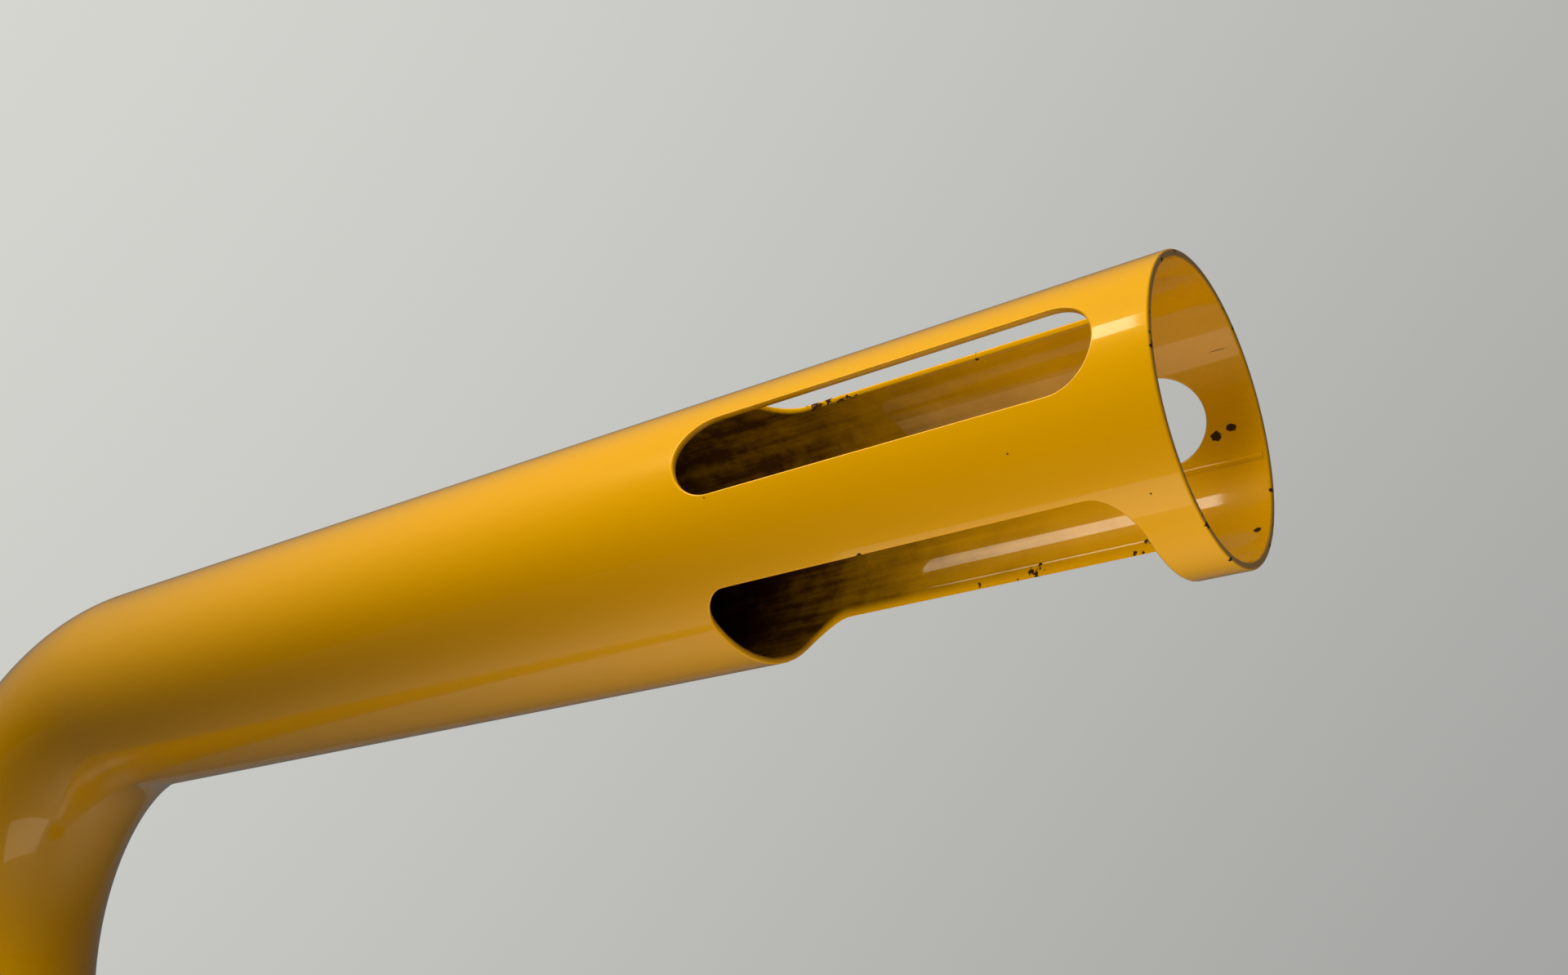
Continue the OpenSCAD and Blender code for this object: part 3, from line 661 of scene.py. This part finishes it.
# ---------------------------------------------------------------------------
# Rubber: the grommet that lines the cable hole and the gasket behind the door.
# Both are moulded EPDM, matt black, with the fine grain of the mould and a grey
# bloom of dust.
# ---------------------------------------------------------------------------
def moulded(name, tints, pattern, roughness, relief=None, grain=None, **settings):
    """A moulded or glazed material. A pattern mixes its two tints and its two roughnesses, and the
    grain, or else the pattern, stands up by the relief: how strong it is and how high in mm."""
    material, tree = new_material(name)
    place = place_mm(tree)
    cloud = put(tree, "ShaderNodeTexNoise", {"Vector": place, **pattern})
    tone = put(tree, "ShaderNodeMix", {"Factor": cloud.outputs["Fac"], "A": linear(tints[0]),
                                       "B": linear(tints[1])}, data_type="RGBA")
    matt = put(tree, "ShaderNodeMapRange", {"Value": cloud.outputs["Fac"], "To Min": roughness[0],
                                            "To Max": roughness[1]})
    finish = {"Base Color": tone.outputs["Result"], "Roughness": matt.outputs[0], **settings}
    if relief:
        raised = put(tree, "ShaderNodeTexNoise", {"Vector": place, **grain}) if grain else cloud
        feel = put(tree, "ShaderNodeBump", {"Height": raised.outputs["Fac"], "Strength": relief[0],
                                            "Distance": relief[1] * MM})
        finish["Normal"] = feel.outputs[0]
    skin = put(tree, "ShaderNodeBsdfPrincipled", finish)
    put(tree, "ShaderNodeOutputMaterial", {"Surface": skin.outputs["BSDF"]})
    return material


# dust in 5 mm patches and mould grain, 0.4 mm
rubber = moulded("moulded_black_epdm", ("#141414", "#34322f"), {"Scale": 1 / 5, "Detail": 5.0}, (0.5, 0.85),
                 (0.3, 0.05), {"Scale": 1 / 0.4, "Detail": 2.0}, IOR=1.52)
dressed("cable_grommet", rubber, 0.4)
dressed("door_gasket", rubber, 0.3)

# ---------------------------------------------------------------------------
# Service door: a steel cover pressed to the tube's curve, with a raised seat for
# each screw, enamelled to match the post.
# ---------------------------------------------------------------------------
door_paint, tree = new_material("gloss_enamel_on_door")
place = place_mm(tree)
halved = put(tree, "ShaderNodeVectorMath", {0: place, 1: (0, 0, (door_low.z + door_high.z) / 2 / MM)},
             operation="SUBTRACT")
halved = put(tree, "ShaderNodeVectorMath", {0: halved.outputs[0]}, operation="ABSOLUTE")
door_corner = (0, door_high.y / MM, (door_high.z - door_low.z) / 2 / MM)
to_edge = put(tree, "ShaderNodeVectorMath", {0: door_corner, 1: halved.outputs[0]}, operation="SUBTRACT")
to_edge = put(tree, "ShaderNodeSeparateXYZ", {"Vector": to_edge.outputs[0]})
edge = put(tree, "ShaderNodeMath", {0: to_edge.outputs["Y"], 1: to_edge.outputs["Z"]}, operation="MINIMUM")
# flakes 1 mm across within 1.5 mm of the edge
chip = flakes(tree, place, 1.3, edge.outputs[0], 1.5, 0.06, -0.3, 0.64)
film_dirt = put(tree, "ShaderNodeTexNoise", {"Vector": place, "Scale": 1 / 20, "Detail": 6.0})
film_dirt = put(tree, "ShaderNodeMapRange", {"Value": film_dirt.outputs["Fac"], "From Min": 0.55,
                                             "From Max": 0.8, "To Max": 0.2})
enamel_film(tree, place, chip.outputs[0], film_dirt.outputs[0], "#8f8168")
dressed("service_door", door_paint, 0.5)


# ---------------------------------------------------------------------------
# Door screws: two M5 button-head security screws in stainless steel, with a
# hexagon socket and a pin in it. They stay captive in the door.
# ---------------------------------------------------------------------------
def metal(name, clean, stained, stain_mm, roughness, scratch):
    """A metal in two tints that change over stain_mm, with scratches 0.3 mm wide and 6 mm long."""
    material, tree = new_material(name)
    place = place_mm(tree)
    stain = put(tree, "ShaderNodeTexNoise", {"Vector": place, "Scale": 1 / stain_mm, "Detail": 6.0,
                                             "Roughness": 0.6})
    spread = put(tree, "ShaderNodeMapRange", {"Value": stain.outputs["Fac"], "From Min": 0.38,
                                              "From Max": 0.68})
    tone = put(tree, "ShaderNodeMix", {"Factor": spread.outputs[0], "A": linear(clean),
                                       "B": linear(stained)}, data_type="RGBA")
    drawn = put(tree, "ShaderNodeMapping", {"Vector": place, "Scale": (1 / 0.3, 1 / 0.3, 1 / 6)})
    lines = put(tree, "ShaderNodeTexNoise", {"Vector": drawn.outputs[0], "Scale": 1.0, "Detail": 3.0})
    feel = put(tree, "ShaderNodeBump", {"Height": lines.outputs["Fac"], "Strength": scratch,
                                        "Distance": 0.03 * MM})
    matt = put(tree, "ShaderNodeMapRange", {"Value": stain.outputs["Fac"], "To Min": roughness - 0.1,
                                            "To Max": roughness + 0.15})
    skin = put(tree, "ShaderNodeBsdfPrincipled", {"Base Color": tone.outputs["Result"], "Metallic": 1.0,
                                                  "Roughness": matt.outputs[0], "Normal": feel.outputs[0]})
    put(tree, "ShaderNodeOutputMaterial", {"Surface": skin.outputs["BSDF"]})
    return material


def turned(origin, axis, stations, segments=48):
    """Rings of points round an axis. Each station is a distance along it and a radius, or a function
    from the angle to a radius."""
    across = axis.orthogonal().normalized()
    other = axis.cross(across)
    points = []
    for distance, radius in stations:
        for i in range(segments):
            angle = 2 * math.pi * i / segments
            r = radius(angle) if callable(radius) else radius
            points.append(origin + axis * distance + (across * math.cos(angle) + other * math.sin(angle)) * r)
    return points


def thread(start, end, crest, depth, pitch):
    """Stations of a screw thread of that crest radius, run out to nothing at both ends."""
    count = round(abs(end - start) / pitch * 8)
    stations = []
    for i in range(count + 1):
        distance = start + (end - start) * i / count
        fade = min(1, i / 6, (count - i) / 6)
        stations.append((distance, lambda angle, distance=distance, fade=fade: crest - depth * (
            1 - fade * abs(2 * ((distance / pitch - angle / (2 * math.pi)) % 1) - 1))))
    return stations


def turned_piece(name, groups, material, finish, body, *nodes, segments=48, loop=False):
    """One piece of several turned shapes, given as (origin, axis, stations), in place of CAD nodes."""
    points, quads = [], []
    for origin, axis, stations in groups:
        start = len(points)
        points += turned(origin, axis, stations, segments)
        quads += [tuple(start + i for i in quad) for quad in join_rings(len(stations), segments, loop)]
    mesh = bpy.data.meshes.new(name)
    mesh.from_pydata(points, [], quads)
    piece = closed_piece(name, mesh)
    mesh.materials.append(material)
    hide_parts(*nodes)
    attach(piece, body)
    return piece


def hexagon(apothem):
    """The radius of a hexagon at each angle."""
    return lambda angle: apothem / math.cos((angle + math.pi / 6) % (math.pi / 3) - math.pi / 6)


def button_head(head_r, height, thread_r, shank, pitch, socket, pin=0.0):
    """Stations of a button-head screw, from its thread's end to the bottom of its socket."""
    stations = [(-shank, thread_r * 0.72)]
    stations += thread(-shank + 0.3 * MM, -0.8 * MM, thread_r, 0.3 * pitch, pitch)
    stations += [(-0.5 * MM, thread_r * 0.9), (0.0, thread_r * 0.95), (0.0, head_r * 0.97)]
    for i in range(9):
        bend = i / 8 * math.pi / 2
        stations.append((height * (0.25 + 0.75 * math.sin(bend)), head_r * (0.62 + 0.38 * math.cos(bend))))
    stations += [(height, socket * 1.22), (height * 0.97, hexagon(socket)), (height * 0.4, hexagon(socket))]
    if pin:
        stations += [(height * 0.38, pin), (height * 0.85, pin), (height * 0.9, pin * 0.7)]
    return stations


stainless = metal("turned_a2_stainless", "#c9c9c7", "#a9a8a4", 3, 0.24, 0.25)
OUT_OF_DOOR = Vector((-1, 0, 0))
screws_low, screws_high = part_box("door_screws")
screw_head_r, screw_head_t, screw_r = (screws_high.y - screws_low.y) / 2, 2.6 * MM, 2.5 * MM
screw_seat = screws_low.x + screw_head_t
door_screw_groups = [
    (Vector((screw_seat, 0, z)), OUT_OF_DOOR,
     button_head(screw_head_r, screw_head_t, screw_r, screws_high.x - screw_seat, 0.8 * MM, 1.55 * MM,
                 0.6 * MM))
    for z in (screws_low.z + screw_head_r, screws_high.z - screw_head_r)]
turned_piece("security_screws", door_screw_groups, stainless, "stainless_steel", "door", "door_screws")

# ---------------------------------------------------------------------------
# Lugs, tray and tray screws: mild steel, zinc-plated and passivated, which gives
# a grey sheen with a faint yellow and blue cast. The lugs are welded in the leg.
# ---------------------------------------------------------------------------
zinc = metal("zinc_plated_steel", "#b7bcc0", "#a8a48f", 7, 0.36, 0.35)
dressed("door_lugs", zinc, 0.4)
dressed("gear_tray", zinc, 0.35)
dressed("earth_washers", zinc, 0.12)
tray_low, tray_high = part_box("tray_screws")
tray_head_r, tray_head_t, tray_screw_r = (tray_high.y - tray_low.y) / 2, 2 * MM, 2 * MM
tray_seat = tray_low.x + tray_head_t
tray_screw_groups = [
    (Vector((tray_seat, 0, z)), OUT_OF_DOOR,
     button_head(tray_head_r, tray_head_t, tray_screw_r, tray_high.x - tray_seat, 0.7 * MM, 1.2 * MM))
    for z in (tray_low.z + tray_head_r, tray_high.z - tray_head_r)]
turned_piece("tray_machine_screws", tray_screw_groups, zinc, "zinc_steel", "post", "tray_screws")

# ---------------------------------------------------------------------------
# Terminal block: three poles moulded in white polyamide, with a turned brass
# clamp and two brass screws in each. The plastic is slightly waxy.
# ---------------------------------------------------------------------------
# flow marks 4 mm across and a 0.3 mm spark-eroded grain
waxy = {"Subsurface Weight": 0.15, "Subsurface Radius": (0.002, 0.0018, 0.0014)}
nylon = moulded("moulded_white_polyamide", ("#ece9df", "#ddd8c8"),
                {"Scale": 1 / 4, "Detail": 3.0, "Distortion": 1.5}, (0.36, 0.5), (0.2, 0.03),
                {"Scale": 1 / 0.3, "Detail": 1.0}, IOR=1.53, **waxy)
dressed("terminal_block", nylon, 0.25)
brass = metal("turned_brass", "#d9b35c", "#a8803a", 4, 0.28, 0.3)
dressed("terminal_clamps", brass)
dressed("terminal_screws", brass)

# ---------------------------------------------------------------------------
# Earth stud: a brass M5 stud with two hexagon nuts and two plated washers, which
# bonds the post to the supply's earth wire.
# ---------------------------------------------------------------------------
stud_low, stud_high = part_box("earth_stud")
stud_head_r, stud_r, stud_head_t = (stud_high.y - stud_low.y) / 2, 2.5 * MM, 1.5 * MM
stud_middle = Vector((0, 0, (stud_low.z + stud_high.z) / 2))
INTO_POST = Vector((1, 0, 0))
stud_length = stud_high.x - stud_low.x
# the head lies behind the tray and the thread points out of the door
stud_stations = [(0, stud_head_r * 0.8), (0.3 * MM, stud_head_r), (stud_head_t - 0.2 * MM, stud_head_r),
                 (stud_head_t, stud_head_r * 0.92), (stud_head_t, stud_r * 0.95)]
stud_stations += thread(stud_head_t + 1.8 * MM, stud_length - 0.5 * MM, stud_r, 0.25 * MM, 0.8 * MM)
stud_stations += [(stud_length, stud_r * 0.7)]
turned_piece("earth_stud_m5", [(stud_middle + INTO_POST * stud_high.x, OUT_OF_DOOR, stud_stations)],
             brass, "brass", "post", "earth_stud")
dressed("earth_nuts", brass, 0.3)

# ---------------------------------------------------------------------------
# Holder bracket: a dish punched from spring steel, oiled and blued by its heat
# treatment, whose three rim segments grip the bore of the arm.
# ---------------------------------------------------------------------------
spring = metal("blued_spring_steel", "#4d5056", "#2f2c2c", 10, 0.38, 0.3)
dressed("holder_bracket", spring, 0.2)

# ---------------------------------------------------------------------------
# Holder stem: a brass tube threaded M10 x 1 along its whole length, which carries
# the lamp holder on the bracket, with a hexagon locknut behind it.
# ---------------------------------------------------------------------------
stem_low, stem_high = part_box("holder_nipple")
stem_r, stem_bore_r, stem_pitch = (stem_high.z - stem_low.z) / 2, 3.5 * MM, 1 * MM
stem_length = stem_high.x - stem_low.x
stem_foot = Vector((stem_low.x, 0, mouth.z))
stem_stations = [(0, stem_bore_r + 0.3 * MM), (0, stem_r * 0.87)]
stem_stations += thread(0.3 * MM, stem_length - 0.3 * MM, stem_r, 0.32 * MM, stem_pitch)
stem_stations += [(stem_length, stem_r * 0.87), (stem_length, stem_bore_r + 0.3 * MM),
                  (stem_length - 0.3 * MM, stem_bore_r), (0.3 * MM, stem_bore_r)]
turned_piece("threaded_stem", [(stem_foot, INTO_POST, stem_stations)], brass, "brass", "post",
             "holder_nipple", loop=True)
dressed("holder_locknut", brass, 0.35)

# ---------------------------------------------------------------------------
# Lamp holder's shell: phenolic, moulded brown-black under heat, with grip flutes
# round its barrel and a rolled front rim. It is glossy with a faint swirl.
# ---------------------------------------------------------------------------
# swirl of filler, 6 mm
phenolic = moulded("moulded_phenolic", ("#1c1512", "#35251d"),
                   {"Scale": 1 / 6, "Detail": 5.0, "Distortion": 2.0}, (0.18, 0.42), IOR=1.6)
shell_low, shell_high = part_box("holder_shell")
rim_r = (shell_high.z - shell_low.z) / 2
barrel_r, shell_wall, barrel_length = rim_r - 1.5 * MM, 2 * MM, 46 * MM
shell_front = Vector((shell_high.x, 0, mouth.z))
shell_length = shell_high.x - shell_low.x
cable_r = 5.1 * MM
flute_count, flute_depth = 40, 0.35 * MM


def fluted(angle):
    """The barrel's radius, scalloped by the grip flutes."""
    return barrel_r - flute_depth * abs(math.sin(angle * flute_count / 2)) ** 3


barrel_in_r = barrel_r - shell_wall
shell_stations = [(1.2 * MM, barrel_in_r), (0.4 * MM, barrel_in_r + 0.3 * MM), (0, barrel_in_r + 1.1 * MM),
                  (0, rim_r - 0.9 * MM), (0.3 * MM, rim_r - 0.3 * MM), (0.9 * MM, rim_r),
                  (3.1 * MM, rim_r), (3.7 * MM, rim_r - 0.3 * MM), (4.0 * MM, barrel_r + 0.3 * MM),
                  (4.6 * MM, barrel_r), (8.0 * MM, barrel_r), (9.5 * MM, fluted),
                  (38 * MM, fluted), (39.5 * MM, barrel_r), (barrel_length - 1.2 * MM, barrel_r),
                  (barrel_length - 0.3 * MM, barrel_r - 0.4 * MM),
                  (barrel_length + 0.3 * MM, barrel_r - 1.4 * MM), (shell_length - 0.8 * MM, 10.2 * MM),
                  (shell_length, 8.2 * MM), (shell_length, cable_r + 0.4 * MM),
                  (shell_length - 0.4 * MM, cable_r), (barrel_length - shell_wall + 0.3 * MM, cable_r),
                  (barrel_length - shell_wall, cable_r + 0.3 * MM), (barrel_length - shell_wall, barrel_in_r)]
turned_piece("phenolic_shell", [(shell_front, OUT_OF_DOOR, shell_stations)], phenolic, "bakelite", "post",
             "holder_shell", segments=160, loop=True)

# ---------------------------------------------------------------------------
# Lamp holder's insert: porcelain, pressed dry, glazed and fired, with rounded
# edges. It carries the threaded shell and the contacts.
# ---------------------------------------------------------------------------
# the glaze pools unevenly over about 5 mm
china = moulded("glazed_porcelain", ("#f3f1ea", "#e3dfd2"), {"Scale": 1 / 5, "Detail": 2.0}, (0.12, 0.24),
                (0.3, 0.1), IOR=1.52)
dressed("holder_insert", china, 0.5)

# ---------------------------------------------------------------------------
# Threaded shell: brass sheet, 0.5 mm, rolled into the round Edison thread that
# the lamp's cap screws into.
# ---------------------------------------------------------------------------
cap_low, cap_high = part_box("screw_shell")
cap_out_r, cap_sheet, cap_depth, cap_pitch = (cap_high.z - cap_low.z) / 2, 0.5 * MM, 1.0 * MM, 3.62 * MM
cap_front = Vector((cap_high.x, 0, mouth.z))
cap_length = cap_high.x - cap_low.x


def rolled(start, end, base):
    """Stations of the rolled sheet between two places, on the side of it with that largest radius."""
    count = 84
    stations = []
    for i in range(count + 1):
        distance = start + (end - start) * i / count
        fade = min(1, i / 5, (count - i) / 5)
        stations.append((distance, lambda angle, distance=distance, fade=fade: base - cap_depth * (
            0.5 - 0.5 * fade * math.cos(2 * math.pi * distance / cap_pitch - angle))))
    return stations


cap_stations = rolled(0, cap_length, cap_out_r) + rolled(cap_length, 0, cap_out_r - cap_sheet)
turned_piece("edison_thread_shell", [(cap_front, OUT_OF_DOOR, cap_stations)], brass, "brass", "post",
             "screw_shell", segments=72, loop=True)

# ---------------------------------------------------------------------------
# Contacts: phosphor bronze strip, blanked and bent, springy and reddish. The
# holder's wire screws are brass, with a slot that can't be seen from outside.
# ---------------------------------------------------------------------------
bronze = metal("rolled_phosphor_bronze", "#c98f5a", "#8d5a36", 5, 0.3, 0.3)
dressed("centre_contact", bronze, 0.12)
dressed("side_contact", bronze, 0.12)
wire_low, wire_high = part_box("holder_terminal_screws")
wire_r = (wire_high.z - wire_low.z) / 2
wire_length = wire_high.x - wire_low.x
wire_stations = [(0, wire_r * 0.7)] + thread(0.2 * MM, wire_length - 0.5 * MM, wire_r, 0.18 * MM, 0.6 * MM)
wire_stations += [(wire_length - 0.2 * MM, wire_r * 0.9), (wire_length, wire_r * 0.7)]
turned_piece("wire_screws", [(Vector((wire_low.x, y, mouth.z)), INTO_POST, wire_stations)
                             for y in (wire_low.y + wire_r, wire_high.y - wire_r)],
             brass, "brass", "post", "holder_terminal_screws", segments=32)
